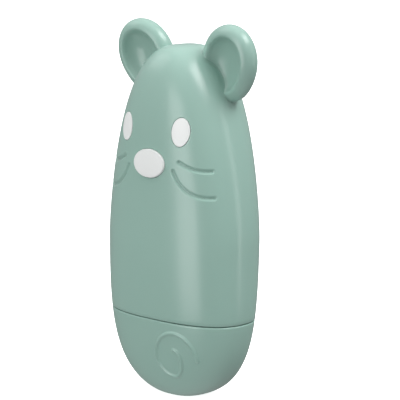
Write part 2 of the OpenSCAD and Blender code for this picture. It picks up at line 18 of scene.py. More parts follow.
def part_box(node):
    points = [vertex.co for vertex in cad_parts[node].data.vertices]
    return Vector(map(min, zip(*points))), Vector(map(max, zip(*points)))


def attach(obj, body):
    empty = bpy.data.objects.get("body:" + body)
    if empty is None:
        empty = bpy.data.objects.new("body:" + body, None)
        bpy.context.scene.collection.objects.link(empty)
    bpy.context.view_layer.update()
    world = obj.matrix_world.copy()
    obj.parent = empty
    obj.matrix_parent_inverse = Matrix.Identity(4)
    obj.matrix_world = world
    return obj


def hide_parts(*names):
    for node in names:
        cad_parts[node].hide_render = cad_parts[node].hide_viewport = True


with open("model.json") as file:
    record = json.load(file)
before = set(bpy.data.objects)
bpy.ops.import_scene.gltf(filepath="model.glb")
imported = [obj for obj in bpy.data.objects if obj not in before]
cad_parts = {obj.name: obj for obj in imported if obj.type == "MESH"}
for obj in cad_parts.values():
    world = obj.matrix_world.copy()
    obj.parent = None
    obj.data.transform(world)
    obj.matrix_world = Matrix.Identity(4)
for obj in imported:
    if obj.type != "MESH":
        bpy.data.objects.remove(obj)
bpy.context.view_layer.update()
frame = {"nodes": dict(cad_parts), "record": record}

MM = 0.001

# %% [markdown]
# ## A mesh from arrays
# Every surface below is worked out as a numpy grid of points. A grid with `rows` x `cols` points
# becomes four-sided faces between neighbours, with no Python loop over the points.

# %% Mesh helpers
def grid_faces(rows, cols, closed=True):
    """Faces of a grid stored row by row: each joins a point, its neighbour in the row and the
    two above them. A closed grid also joins the last column to the first."""
    last = cols if closed else cols - 1
    r, c = np.meshgrid(np.arange(rows - 1), np.arange(last), indexing="ij")
    d = (c + 1) % cols
    low, high = r * cols, (r + 1) * cols
    return np.stack([low + c, low + d, high + d, high + c], -1).reshape(-1, 4)


def fan_faces(ring, centre, flip=False):
    """Triangles from each edge of a closed ring of point numbers to one centre point."""
    nxt = np.roll(ring, -1)
    tri = np.stack([ring, nxt, np.full(len(ring), centre)], -1)
    return tri[:, ::-1] if flip else tri


def turns(count):
    """Evenly spaced angles once round, without the last."""
    return np.linspace(0, 2 * np.pi, count, endpoint=False)


def circle(turn):
    """Points on the unit circle: (cos, sin)."""
    return np.stack([np.cos(turn), np.sin(turn)], -1)


def loop_faces(a, b):
    """Four-sided faces between two closed loops of point numbers of the same length."""
    return np.stack([a, np.roll(a, -1), np.roll(b, -1), b], -1)


def capped_faces(rows, cols, flip=False):
    """Faces of a closed grid and of the two end points that follow its own points."""
    grid = grid_faces(rows, cols)
    ring = np.arange(cols)
    return [grid if flip else grid[:, ::-1], fan_faces(ring, rows * cols, flip=flip),
            fan_faces((rows - 1) * cols + ring, rows * cols + 1, flip=not flip)]


def make_piece(name, points, faces, flat_above=40):
    """Makes a smooth object at the origin from an array of points and a list of face arrays.
    An edge stays sharp where its faces turn by more than flat_above degrees."""
    mesh = bpy.data.meshes.new(name)
    corners = [face for part in faces for face in np.asarray(part).tolist()]
    mesh.from_pydata(np.asarray(points).tolist(), [], corners)
    mesh.validate()
    piece = bpy.data.objects.new(name, mesh)
    bpy.context.collection.objects.link(piece)
    mesh.polygons.foreach_set("use_smooth", np.ones(len(mesh.polygons), bool))
    mesh.set_sharp_from_angle(angle=math.radians(flat_above))
    print(f"{name}: {len(mesh.vertices)} points, {len(mesh.polygons)} faces")
    return piece


def joined(name, parts, flat_above=40):
    """One piece from several (points, faces) pairs: each part's face numbers move up by the
    number of points before it."""
    points, faces, count = [], [], 0
    for pts, fcs in parts:
        pts = np.asarray(pts).reshape(-1, 3)
        points.append(pts)
        faces += [np.asarray(f) + count for f in fcs]
        count += len(pts)
    return make_piece(name, np.concatenate(points), faces, flat_above=flat_above)


# %% [markdown]
# ## The shape of the case
# Each level of the case is a superellipse: |x/a|^n + |y/b|^n = 1, a little squarer than an ellipse.
# The half width a and the half depth b swell from the foot to the widest height and shrink to the
# crown, by the rule (1 - t^p)^(1/q), where t runs from 0 at the widest height to 1 at the end.
# The same rule with a smaller size gives the inside wall, so that the shell has an even thickness.

# %% Case shape
CROWN = 140 * MM
HALF_W = 33.2 * MM
HALF_D = 20.7 * MM
WIDEST = 64.2 * MM
FOOT_CUT = 0.8 * MM
WALL = 2.2 * MM
SQUARENESS = 2.48
UP_W, LOW_W = (1.5, 2.38), (4.2, 2.21)
UP_D, LOW_D = (4.0, 3.6), (1.63, 3.6)
seam_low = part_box("base_cup")[1][2]
seam_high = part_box("cover_shell")[0][2]


def swell(t, power):
    """(1 - t^p)^(1/q), the share of the greatest half width that is left at t."""
    return np.maximum(0, 1 - np.clip(t, 0, 1) ** power[0]) ** (1 / power[1])


def squared(v, power):
    """|v|^power with the sign of v: a power below 1 turns a circle into a squarer oval."""
    return np.sign(v) * np.abs(v) ** power


def half_sizes(z, inset=0.0):
    """Half width and half depth of the case at height z, with the surface moved in by inset."""
    up = (z - WIDEST) / (CROWN - inset - WIDEST)
    low = (WIDEST - z) / (WIDEST + FOOT_CUT - inset)
    above = z >= WIDEST
    a = (HALF_W - inset) * np.where(above, swell(up, UP_W), swell(low, LOW_W))
    b = (HALF_D - inset) * np.where(above, swell(up, UP_D), swell(low, LOW_D))
    return a, b


def case_point(turn, z, inset=0.0):
    """Point at an angle round the level z: x = a * |cos|^(2/n), y = b * |sin|^(2/n), with signs."""
    a, b = half_sizes(z, inset)
    c, s = np.cos(turn), np.sin(turn)
    bend = 2 / SQUARENESS
    return np.stack(np.broadcast_arrays(a * squared(c, bend), b * squared(s, bend), z), -1)


def case_depth(p, inset=0.0):
    """About how far the points p lie outside the surface: ((|x/a|^n + |y/b|^n)^(1/n) - 1)
    divided by the length of its gradient. Negative inside. Also gives the outward direction."""
    def level(q):
        a, b = half_sizes(q[..., 2], inset)
        shares = np.abs(q[..., :2] / np.maximum(np.stack([a, b], -1), 1e-6))
        return (shares ** SQUARENESS).sum(-1) ** (1 / SQUARENESS) - 1
    step = 2e-5
    grad = np.stack([(level(p + step * e) - level(p - step * e)) / (2 * step) for e in np.eye(3)], -1)
    size = np.linalg.norm(grad, axis=-1)
    return level(p) / np.maximum(size, 1e-9), grad / np.maximum(size, 1e-9)[..., None]


def front_y(x, z):
    """Depth of the front surface: y = -b * (1 - |x/a|^n)^(1/n)."""
    a, b = half_sizes(z)
    return -b * np.maximum(0, 1 - np.abs(x / a) ** SQUARENESS) ** (1 / SQUARENESS)


def on_front(x, z, out=0.0):
    """The front point at x and z, moved along the outward normal by out: p + out * n."""
    p = np.stack(np.broadcast_arrays(x, front_y(x, z), z), -1)
    return p + out * case_depth(p)[1] if np.any(out) else p


print("case at its widest:", np.round(np.array(half_sizes(np.array(WIDEST))) * 2000, 1), "mm")

# %% [markdown]
# ## Columns and rows where the detail is
# The whisker grooves are about 2 mm wide, so the grid needs several points across them. A grid as
# fine as that all round would be needlessly heavy. So the columns are spread by arc length, with
# closer ones across the face, and the rows are closer at the height of the whiskers and eyes.

# %% Spread columns and rows
def spread(start, stop, step):
    """Evenly spaced values from start to stop, about step apart, without the last."""
    return np.linspace(start, stop, max(2, round(abs(stop - start) / step)), endpoint=False)


def columns_for(x_from, x_to, fine, coarse, z, beside=0.0):
    """Angles round the case: the arc length along the level z is cut into fine steps on the
    front between x_from and x_to, medium steps for a stretch beside them, and coarse steps
    elsewhere, then turned back into angles."""
    turn = np.linspace(0, 2 * np.pi, 7201) - np.pi
    p = case_point(turn, np.array(z))
    arc = np.concatenate([[0], np.cumsum(np.linalg.norm(np.diff(p, axis=0), axis=-1))])
    front = (p[:, 1] < 0)
    at = lambda x: np.interp(x, p[front, 0], arc[front])
    left, right = at(x_from), at(x_to)
    stops = [spread(0, left - beside, coarse), spread(left - beside, left, 2 * fine),
             spread(left, right, fine), spread(right, right + beside, 2 * fine),
             spread(right + beside, arc[-1], coarse)]
    return np.interp(np.concatenate(stops if beside else stops[::2]), arc, turn)


def rings_to_crown(z0, inset, count):
    """Heights from z0 to the crown, closer together towards it: a sine of equal steps."""
    t = np.linspace(0, 1, count)
    return z0 + (CROWN - inset - 1e-6 - z0) * np.sin(t * np.pi / 2)


# %% [markdown]
# ## Whisker grooves
# Two curved grooves run from each side of the nose. Each is a quadratic curve through three control
# points on the face. A point's distance to the curve sets how deep it is pressed in: the section
# is a V with slanted walls and a soft bottom, as a cutter with a pointed tip leaves in a mould.

# %% Groove depth
nose_box, eye_box = np.array(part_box("nose_button")), np.array(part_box("right_eye"))
NOSE_Z = nose_box[:, 2].mean()
EYE_X, EYE_Z = eye_box[:, 0].mean(), eye_box[:, 2].mean()
WHISKERS = [np.array([[14.2, 1.6], [20.6, -1.9], [25.8, -1.3]]) * MM,
            np.array([[11.7, -2.0], [16.2, -11.9], [27.2, -11.5]]) * MM]
WHISKER_DROP, WHISKER_SPAN, WHISKER_FROM = 4 * MM, 10 * MM, 8 * MM
GROOVE_HALF, GROOVE_DEPTH = 1.02 * MM, 0.85 * MM


def curve_points(control, count=70):
    """Points on a quadratic curve: (1-t)^2 first + 2t(1-t) middle + t^2 last."""
    t = np.linspace(0, 1, count)[:, None]
    return control[0] * (1 - t) ** 2 + control[1] * 2 * t * (1 - t) + control[2] * t ** 2


def nearest(points, path):
    """Distance from each point to the nearest point of a path."""
    return np.sqrt(((points[:, None, :] - path[None]) ** 2).sum(-1).min(1))


def press_whiskers(points):
    """Moves points on the face inwards along the surface's normal, by the groove's depth times
    (1 - distance / half width), softened at the bottom and at the edge."""
    flat = points.reshape(-1, 3)
    level = np.abs(flat[:, 2] - NOSE_Z + WHISKER_DROP) < WHISKER_SPAN
    near = np.flatnonzero((flat[:, 1] < 0) & level & (np.abs(flat[:, 0]) > WHISKER_FROM))
    depth = np.zeros(len(near))
    for control in WHISKERS:
        xz = curve_points(control) + [0, NOSE_Z]
        path = on_front(xz[:, 0], xz[:, 1])
        side = flat[near]
        side[:, 0] = np.abs(side[:, 0])
        t = np.clip(1 - nearest(side, path) / GROOVE_HALF, 0, 1)
        depth = np.maximum(depth, GROOVE_DEPTH * (t ** 1.3 * (1 - 0.25 * t ** 3)) / 0.75)
    normal = case_depth(flat[near])[1]
    out = flat.copy()
    out[near] -= normal * depth[:, None]
    return out.reshape(points.shape)


# %% [markdown]
# ## Pockets for the eyes and the nose
# The white inserts sit in shallow oval pockets. A pocket's rim has to follow the oval exactly, and a
# square grid can't, so a window is left out of the grid and filled with rings that change from the
# window's outline to the oval, then go down the pocket's wall and close over its floor.

# %% Window and pocket
POCKET_DEPTH = 1.1 * MM
POCKET_GAP = 0.15 * MM


def window_loop(cols, r0, r1, c0, c1):
    """Point numbers round the window, anticlockwise as seen from outside."""
    bottom = r0 * cols + np.arange(c0, c1)
    right = np.arange(r0, r1) * cols + c1
    top = r1 * cols + np.arange(c1, c0, -1)
    left = np.arange(r1, r0, -1) * cols + c0
    return np.concatenate([bottom, right, top, left])


def pocket(points, loop, centre, half, start):
    """Rings from the window's outline to an oval with the given centre and half sizes, in x and z,
    then down to the floor. Returns the new points and all faces; start numbers the first new point."""
    xz = points[loop][:, [0, 2]]
    turn = np.arctan2((xz[:, 1] - centre[1]) / half[1], (xz[:, 0] - centre[0]) / half[0])
    oval = lambda grow: np.array(centre) + circle(turn) * (np.array(half) + grow)
    edge = 0.12 * MM
    rings, outs = [], []
    for t in (0.3, 0.6, 0.85):  # shares of the way from the window to the oval
        rings.append(xz + (oval(edge) - xz) * t)
        outs.append(0.0)
    for grow, out in ((edge, 0.0), (edge * 0.3, -0.04 * MM), (0, -edge), (0, -POCKET_DEPTH)):
        rings.append(oval(grow))
        outs.append(out)
    for share in (0.6, 0.25):  # the floor, as shares of the oval
        rings.append(np.array(centre) + (oval(0) - centre) * share)
        outs.append(-POCKET_DEPTH)
    new = [on_front(r[:, 0], r[:, 1], o) if o else press_whiskers(on_front(r[:, 0], r[:, 1]))
           for r, o in zip(rings, outs)]
    new.append(on_front(np.array([centre[0]]), np.array([centre[1]]), -POCKET_DEPTH))
    n = len(loop)
    ids = [loop] + [start + k * n + np.arange(n) for k in range(len(rings))]
    faces = [loop_faces(a, b) for a, b in zip(ids[:-1], ids[1:])]
    faces.append(fan_faces(ids[-1], start + len(rings) * n))
    return np.concatenate(new), faces


# %% [markdown]
# ## The cover
# One grid makes the whole shell: it starts at the crown inside, runs down the inner wall, turns
# round the rim at the joint with small radii, and climbs the outside to the crown again. Inside and
# outside close in a pole. That keeps the wall a real thickness, which shows when the cover is off.

# %% Cover shell grid
EDGE = 0.22 * MM
fine, coarse = 0.26 * MM, 1.5 * MM
cover_turns = columns_for(-29.5 * MM, 29.5 * MM, fine, coarse, 95 * MM, beside=20 * MM)
inner_z = rings_to_crown(seam_high + EDGE, WALL, 22)[::-1]
outer_z = np.concatenate([
    spread(seam_high + EDGE, 78 * MM, 1.6 * MM), spread(78 * MM, 81 * MM, 0.7 * MM),
    spread(81 * MM, 100 * MM, 0.24 * MM), spread(100 * MM, 116 * MM, 0.5 * MM),
    rings_to_crown(116 * MM, 0, 76)])
rim = [(seam_high + EDGE * 0.3, WALL - EDGE * 0.3), (seam_high, WALL - EDGE), (seam_high, EDGE),
       (seam_high + EDGE * 0.3, EDGE * 0.3)]
row_z = np.concatenate([inner_z, [r[0] for r in rim], outer_z])
row_inset = np.concatenate([np.full(len(inner_z), WALL), [r[1] for r in rim], np.zeros(len(outer_z))])
rows, cols = len(row_z), len(cover_turns)
shell = case_point(cover_turns[None, :], row_z[:, None], row_inset[:, None])
first_outer = len(inner_z) + len(rim)
shell[first_outer:] = press_whiskers(shell[first_outer:])
print("cover grid:", rows, "rows x", cols, "columns")

# %% [markdown]
# ## Windows in the cover's grid
# Three windows are cut out of the outer rows, for the nose and the eyes. A face is kept or dropped
# by a table with one entry per grid cell. The two poles close the crown inside and outside.

# %% Cut the windows and close the shell
cover_points = shell.reshape(-1, 3)
keep = np.ones((rows - 1, cols), bool)
extra_points, cover_faces, used = [], [], len(cover_points)
nose_half = np.ptp(nose_box, axis=0)[[0, 2]] / 2
eye_half = np.ptp(eye_box, axis=0)[[0, 2]] / 2
for centre, half, room in (((0.0, NOSE_Z), nose_half, 1.2 * MM),
                           ((EYE_X, EYE_Z), eye_half, 1.6 * MM), ((-EYE_X, EYE_Z), eye_half, 1.6 * MM)):
    centre, half = np.array(centre), half + POCKET_GAP
    mid_row = first_outer + np.argmin(np.abs(outer_z - centre[1]))
    on_row = shell[mid_row]
    cells = np.flatnonzero((on_row[:, 1] < 0) & (np.abs(on_row[:, 0] - centre[0]) < half[0] + room))
    c0, c1 = cells.min(), cells.max()
    levels = np.flatnonzero((row_z > centre[1] - half[1] - room) & (row_z < centre[1] + half[1] + room)
                            & (np.arange(rows) >= first_outer))
    r0, r1 = levels.min(), levels.max()
    keep[r0:r1, c0:c1] = False
    loop = window_loop(cols, r0, r1, c0, c1)
    pts, fcs = pocket(cover_points, loop, centre, half, used)
    extra_points.append(pts)
    cover_faces += fcs
    used += len(pts)
cover_faces.append(grid_faces(rows, cols).reshape(rows - 1, cols, 4)[keep])
poles = np.array([[0, 0, CROWN - WALL], [0, 0, CROWN]])
cover_faces.append(fan_faces(np.arange(cols), used, flip=True))
cover_faces.append(fan_faces((rows - 1) * cols + np.arange(cols), used + 1))
cover_part = (np.concatenate([cover_points] + extra_points + [poles]), cover_faces)

# %% [markdown]
# ## The ears
# An ear is a thick cup: a rounded lip runs round a smooth hollow, and the back is gently domed. Its
# section is a profile from the middle of the hollow, over the lip, to the middle of the back. The
# profile is carried round an oval core that reaches a little further at the lower outer corner.
# Where an ear would come through the inside wall of the cover, its points stay within the wall.

# %% Ear surface
EAR_AT = np.array([21.96, 0.93, 134.6]) * MM
EAR_HALF = np.array([12.9, 14.7]) * MM
EAR_T = 8.4 * MM
EAR_TURNS = np.radians([8.9, 27.4, -4.4])
EAR_CORNER, EAR_REACH, EAR_SPREAD = math.radians(-58), 0.13, 0.6
EAR_COLS = 180


def turned(p, axis, angle):
    """Turns points about one axis by the right-hand rule."""
    i, j = [(1, 2), (2, 0), (0, 1)][axis]
    q = p.copy()
    c, s = math.cos(angle), math.sin(angle)
    q[..., i], q[..., j] = c * p[..., i] - s * p[..., j], s * p[..., i] + c * p[..., j]
    return q


def smooth_path(stops, count):
    """A smooth curve through the stops, by arc length: a Catmull-Rom spline, sampled evenly."""
    stops = np.asarray(stops, float)
    p = np.concatenate([2 * stops[:1] - stops[1:2], stops, 2 * stops[-1:] - stops[-2:-1]])
    t = np.linspace(0, 1, 40, endpoint=False)[None, :, None]
    a, b, c, d = (p[k:len(p) - 3 + k, None, :] for k in range(4))
    fine_curve = (0.5 * (2 * b + (c - a) * t + (2 * a - 5 * b + 4 * c - d) * t ** 2
                         + (3 * b - a - 3 * c + d) * t ** 3)).reshape(-1, stops.shape[1])
    fine_curve = np.concatenate([fine_curve, stops[-1:]])
    arc = np.concatenate([[0], np.cumsum(np.linalg.norm(np.diff(fine_curve, axis=0), axis=1))])
    want = np.linspace(0, arc[-1], count)
    return np.stack([np.interp(want, arc, fine_curve[:, k]) for k in range(stops.shape[1])], -1)


def ear(side):
    """Points and faces of one ear. The profile gives, for each stop, a share of the oval core and
    a distance out from it, and the place front to back."""
    tube = EAR_T / 2
    core = EAR_HALF - tube
    profile = smooth_path([
        # share of the core, then out from the core and front to back, as shares of the lip's radius
        (0.0, 0.0, 0.26), (0.25, 0.0, 0.23), (0.5, 0.0, 0.1), (0.72, 0.0, -0.14), (0.88, 0.0, -0.48),
        (1.0, -0.02, -0.84), (1.0, 0.16, -0.985), (1.0, 0.38, -0.93), (1.0, 0.66, -0.76),
        (1.0, 0.87, -0.5), (1.0, 0.98, -0.18), (1.0, 0.99, 0.14), (1.0, 0.9, 0.45), (1.0, 0.68, 0.73),
        (1.0, 0.4, 0.91), (1.0, 0.0, 0.985), (0.75, 0.0, 0.995), (0.5, 0.0, 1.0), (0.0, 0.0, 1.0)], 72)
    turn = turns(EAR_COLS)
    share, out, y = (profile[1:-1, k][:, None] * size for k, size in enumerate((1, tube, tube)))
    away = np.angle(np.exp(1j * (turn - EAR_CORNER)))
    grow = 1 + EAR_REACH * np.exp(-(away / EAR_SPREAD) ** 2)
    x = (share * core[0] + out) * np.cos(turn) * grow
    z = (share * core[1] + out) * np.sin(turn) * grow
    p = np.stack(np.broadcast_arrays(x, y, z), -1)
    ends = np.array([[0, profile[0, 2] * tube, 0], [0, profile[-1, 2] * tube, 0]])
    p = np.concatenate([p.reshape(-1, 3), ends])
    p = turned(turned(turned(p, 1, EAR_TURNS[1]), 0, EAR_TURNS[0]), 2, EAR_TURNS[2]) + EAR_AT
    for _ in range(6):
        depth, normal = case_depth(p, WALL / 2)
        p = p - normal * np.minimum(depth, 0)[:, None]
    m, n = share.shape[0], len(turn)
    faces = capped_faces(m, n)
    if side < 0:
        p = p * [-1, 1, 1]
        faces = [f[:, ::-1] for f in faces]
    return p, faces


# %% [markdown]
# ## A fillet between ear and head
# Two surfaces that simply cross leave a hard crease. Mouldings have a small radius there. Each
# point near the crossing moves outwards to the "smooth minimum" of the two distances: the nearer the
# other surface is, the further it moves, along a direction between the two normals.

# %% Fillet
FILLET = 1.5 * MM
EAR_NEAR = 26 * MM


def grid_normals(p, m, n):
    """Outward directions of an ear's points: the cross product of the steps along and round it."""
    g = p[:m * n].reshape(m, n, 3)
    along = np.gradient(g, axis=0)
    round_ = np.roll(g, -1, axis=1) - np.roll(g, 1, axis=1)
    normal = np.cross(along, round_)
    normal /= np.maximum(np.linalg.norm(normal, axis=-1, keepdims=True), 1e-12)
    return normal.reshape(-1, 3)


def lift(own, other, gap):
    """How far and where a point moves: (1 - gap/r)^2 * r/4 along the mix of both normals, falling
    off quickly for a point that lies inside the other surface."""
    h = np.clip(1 - gap / FILLET, 0, 1)
    far = np.where(gap >= 0, h * h, np.clip(1 + gap / (0.3 * FILLET), 0, 1)) * FILLET / 4
    way = own * (1 - h / 2)[:, None] + other * (h / 2)[:, None]
    return way / np.maximum(np.linalg.norm(way, axis=-1, keepdims=True), 1e-12) * far[:, None]


def blend_ear(head, side):
    """Moves the head's points near an ear, and the ear's points near the head. The flat top of
    the crown is left out, as the distance isn't reliable there."""
    p, faces = ear(side)
    m, n = len(p[:-2]) // EAR_COLS, EAR_COLS
    own = grid_normals(p, m, n)
    middle = (p[(m // 2) * n:(m // 2) * n + n]).mean(0)
    if ((p[:m * n] - middle) * own).sum() < 0:
        own = -own
    body = p[:m * n]
    gap, other = case_depth(body)
    gap = np.where(body[:, 2] > CROWN - 2 * MM, 1.0, gap)
    close = np.abs(gap) < 2 * FILLET
    moved = p.copy()
    moved[:m * n][close] += lift(own[close], other[close], gap[close])
    reach = np.flatnonzero(np.linalg.norm(head - EAR_AT * [side, 1, 1], axis=1) < EAR_NEAR)
    on_skin = np.abs(case_depth(head[reach])[0]) < 0.2 * MM
    reach = reach[on_skin & (head[reach, 2] < CROWN - 1 * MM)]
    shown = np.abs(gap) < 1.5 * FILLET
    skin, skin_normal = body[shown], own[shown]
    shift = np.zeros((len(reach), 3))
    head_normal = case_depth(head[reach])[1]
    for part in np.array_split(np.arange(len(reach)), max(1, len(reach) // 200)):
        near = ((head[reach[part], None] - skin[None]) ** 2).sum(-1).argmin(1)
        apart = head[reach[part]] - skin[near]
        level = (apart * skin_normal[near]).sum(1)
        gap_h = np.where(np.linalg.norm(apart, axis=1) < 2.5 * FILLET, level, 1.0)
        shift[part] = lift(head_normal[part], skin_normal[near], gap_h)
    head[reach] += shift
    return moved, faces


ears = [blend_ear(cover_part[0], 1), blend_ear(cover_part[0], -1)]
cover = joined("cover", [cover_part] + ears, flat_above=50)
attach(cover, "cover")
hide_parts("cover_shell")

# %% [markdown]
# ## Eyes and nose
# The inserts are separate white mouldings. Each is an oval plate that follows the curve of the face:
# rings go out from the middle, over a small rounded edge, and back underneath. The eyes lie almost
# flush. The nose stands proud like a pebble, with a larger radius round its edge.

# %% Inserts
def insert(name, centre, half, crown, edge, lift, node):
    """Oval plate on the face: its front stands lift + crown * (1 - r^2) out, its rim is a
    quarter circle of radius edge, and its back lies just above the pocket's floor."""
    turn = turns(144)
    unit = circle(turn)
    rounds = np.linspace(0, np.pi / 2, 9)
    profile = [(r, 0.0, lift + crown * (1 - r * r)) for r in np.linspace(0.06, 0.96, 16)]
    profile += [(1.0, edge * (math.sin(t) - 1), lift - edge * (1 - math.cos(t))) for t in rounds]
    profile += [(1.0, 0.0, -POCKET_DEPTH * 0.95), (0.5, 0.0, -POCKET_DEPTH * 0.95)]
    rings = [on_front(*(np.array(centre) + unit * (np.array(half) * r + d)).T, out)
             for r, d, out in profile]
    ends = np.stack([on_front(*np.array(centre), out) for out in (lift + crown, profile[-1][2])])
    m, n = len(rings), len(turn)
    piece = make_piece(name, np.concatenate(rings + [ends]), capped_faces(m, n), flat_above=60)
    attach(piece, "cover")
    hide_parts(node)
    return piece


inserts = [insert("eye_left", (-EYE_X, EYE_Z), eye_half, 0.05 * MM, 0.22 * MM, 0.16 * MM, "left_eye"),
           insert("eye_right", (EYE_X, EYE_Z), eye_half, 0.05 * MM, 0.22 * MM, 0.16 * MM, "right_eye"),
           insert("nose", (0.0, NOSE_Z), nose_half, 0.18 * MM, 0.6 * MM, 0.68 * MM, "nose_button")]

# %% [markdown]
# ## The base cup
# The base is made as the cover is: one grid from the middle of its floor up the inner wall, round
# the rim, and down the outside to the flat foot. The curled tail is a rounded line that stands out
# of the front: points near its path move outwards by the height of a round bead.

# %% Tail line and base
TAIL_X, TAIL_LOW, TAIL_LEAN = 9 * MM, 10.1 * MM, 0.11
# Each arc of the tail: height of its middle, half width, half height, first and last angle
TAIL_ARCS = [(15.8, 3.6, 5.7, 90, -90), (19.3, 8.7, 9.1, 270, 90), (16.4, 10.4, 12.0, 90, 8)]
TAIL_HALF, TAIL_HIGH = 0.95 * MM, 0.6 * MM
TAIL_FROM, TAIL_TO = -3 * MM, 24 * MM


def tail_path():
    """Three half ovals, each larger than the one before and joined end to end: a spiral, which
    leans to one side in proportion to the height."""
    arcs = []
    for z, rx, rz, first, last in TAIL_ARCS:
        t = np.radians(np.linspace(first, last, 60))
        up = z * MM + rz * MM * np.sin(t)
        arcs.append(np.stack([TAIL_X + rx * MM * np.cos(t) + TAIL_LEAN * (up - TAIL_LOW), up], -1))
    return np.concatenate(arcs)


def raise_tail(points):
    """Moves points outwards by the height of a bead: (1 - (distance / half width)^2)^1.3,
    which meets the base softly."""
    flat = points.reshape(-1, 3)
    near = np.flatnonzero((flat[:, 1] < 0) & (flat[:, 0] > TAIL_FROM) & (flat[:, 0] < TAIL_TO))
    xz = tail_path()
    path = on_front(xz[:, 0], xz[:, 1])
    t = np.clip(nearest(flat[near], path) / TAIL_HALF, 0, 1)
    out = flat.copy()
    out[near] += case_depth(flat[near])[1] * (TAIL_HIGH * (1 - t * t) ** 1.3)[:, None]
    return out.reshape(points.shape)


base_turns = columns_for(TAIL_FROM, 23.5 * MM, 0.2 * MM, 1.4 * MM, 20 * MM)
FOOT_EDGE = 0.8 * MM
low_curve = lambda z0, z1, count: z0 + (z1 - z0) * np.linspace(0, 1, count) ** 1.8
inner_b = low_curve(WALL, seam_low - EDGE, 26)
tail_top, tail_bottom = 29.5 * MM, 6.5 * MM
outer_b = np.concatenate([spread(seam_low - EDGE, tail_top, 0.6 * MM),
                          spread(tail_top, tail_bottom, 0.2 * MM),
                          low_curve(FOOT_EDGE * 0.3, tail_bottom, 14)[::-1]])
base_z = np.concatenate([inner_b, [seam_low, seam_low], outer_b, [0.0]])
base_inset = np.concatenate([np.full(len(inner_b), WALL), [WALL - EDGE, EDGE],
                             np.zeros(len(outer_b)), [FOOT_EDGE * 0.5]])
cup = case_point(base_turns[None, :], base_z[:, None], base_inset[:, None])
cup = np.where((base_inset < WALL / 2)[:, None, None], raise_tail(cup), cup)
m, n = len(base_z), len(base_turns)
ends = np.array([[0, 0, WALL], [0, 0, 0]])
base = make_piece("base", np.concatenate([cup.reshape(-1, 3), ends]), capped_faces(m, n), flat_above=50)
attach(base, "base")
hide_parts("base_cup")

# %% [markdown]
# ## Shader maths in plain Python
# A small class wraps a node's output and overloads the arithmetic operators, so that a pattern is
# written as an expression. One method makes any other node from its type, settings and inputs.

# %% Shader class
class Value:
    """A node's output: Value + Value and Value * number make Math nodes."""

    def __init__(self, tree, socket):
        self.tree, self.socket = tree, socket

    def node(self, kind, settings=None, **inputs):
        """Makes a node, sets its settings, then links or fills its input sockets by name."""
        made = self.tree.nodes.new(kind)
        for key, val in (settings or {}).items():
            setattr(made, key, val)
        for key, val in inputs.items():
            index = int(key[2:]) if key[2:].isdigit() else key.replace("_", " ")
            if isinstance(val, Value):
                self.tree.links.new(val.socket, made.inputs[index])
            else:
                made.inputs[index].default_value = val
        return made

    def out(self, made, index=0):
        return Value(self.tree, made.outputs[index])

    def maths(self, operation, a, b=0.0):
        return self.out(self.node("ShaderNodeMath", {"operation": operation}, in0=a, in1=b))

    def __add__(self, other): return self.maths("ADD", self, other)
    def __radd__(self, other): return self.maths("ADD", other, self)
    def __mul__(self, other): return self.maths("MULTIPLY", self, other)

    def noise(self, place, scale, detail=3.0, roughness=0.5):
        return self.out(self.node("ShaderNodeTexNoise", Vector=place, Scale=scale, Detail=detail,
                                  Roughness=roughness))

    def mix(self, share, first, second):
        made = self.node("ShaderNodeMix", {"data_type": "RGBA"}, Factor=share, in6=first, in7=second)
        return self.out(made, 2)  # sockets 6, 7 and 2 are the colours


def linear(r, g, b):
    """A screen colour from 0 to 255 as the linear values that a shader uses."""
    c = np.array([r, g, b]) / 255
    lin = np.where(c <= 0.04045, c / 12.92, ((c + 0.055) / 1.055) ** 2.4)
    return (*(float(v) for v in lin), 1.0)


def new_material(name, roughness=0.4, **constants):
    """A material with a Principled shader. Returns the material, the shader, a maths helper and
    the object's own coordinates."""
    mat = bpy.data.materials.new(name)
    mat.use_nodes = True
    tree = mat.node_tree
    shader = tree.nodes["Principled BSDF"]
    shader.inputs["Roughness"].default_value = roughness
    for key, val in constants.items():
        shader.inputs[key.replace("_", " ")].default_value = val
    helper = Value(tree, None)
    place = helper.out(helper.node("ShaderNodeTexCoord"), 3)
    return mat, shader, helper, place


def feed(helper, shader, **links):
    """Links values to the shader's inputs, by the input's name."""
    for key, val in links.items():
        helper.tree.links.new(val.socket, shader.inputs[key.replace("_", " ")])


def bump(helper, height, distance):
    """A normal tilted by the slope of height times distance."""
    return helper.out(helper.node("ShaderNodeBump", Height=height, Distance=distance))


# %% [markdown]
# ## Mint plastic
# The case is moulded in tinted plastic with a satin gloss. Such a wall is never quite even: the tint
# drifts a little, the polish varies in large soft patches, and a very fine grain softens reflections.
# A trace of light scatters below the surface, which rounds off the shading.

# %% Mint plastic
def mint_plastic(name, colour, roughness, grain):
    """Tinted plastic: the tint drifts between colour - 1.5 and colour + 1.5."""
    mat, shader, h, place = new_material(name, roughness, IOR=1.5, Subsurface_Weight=0.08,
                                         Subsurface_Radius=(0.002, 0.003, 0.003), Subsurface_Scale=0.5,
                                         Coat_Roughness=0.22)
    drift = h.noise(place, 28.0, 2.0)
    fine_grain = h.noise(place, 1500.0, 2.0)
    polish = h.noise(place, 90.0, 3.0)
    pale, deep = (linear(*[v + step for v in colour]) for step in (1.5, -1.5))
    feed(h, shader, Base_Color=h.mix(drift, deep, pale), Roughness=roughness - 0.005 + polish * 0.01,
         Normal=bump(h, fine_grain, grain))
    shader.inputs["Coat Weight"].default_value = 0.25
    return mat


case_mint = mint_plastic("case_mint", (150, 184, 173), 0.28, 0.000004)
for piece in (cover, base):
    piece.data.materials.append(case_mint)

# %% [markdown]
# ## White plastic
# The inserts are glossier than the rack and almost pure white. A slow drift in tone and polish, and a
# very fine grain, keep the white from looking computed.

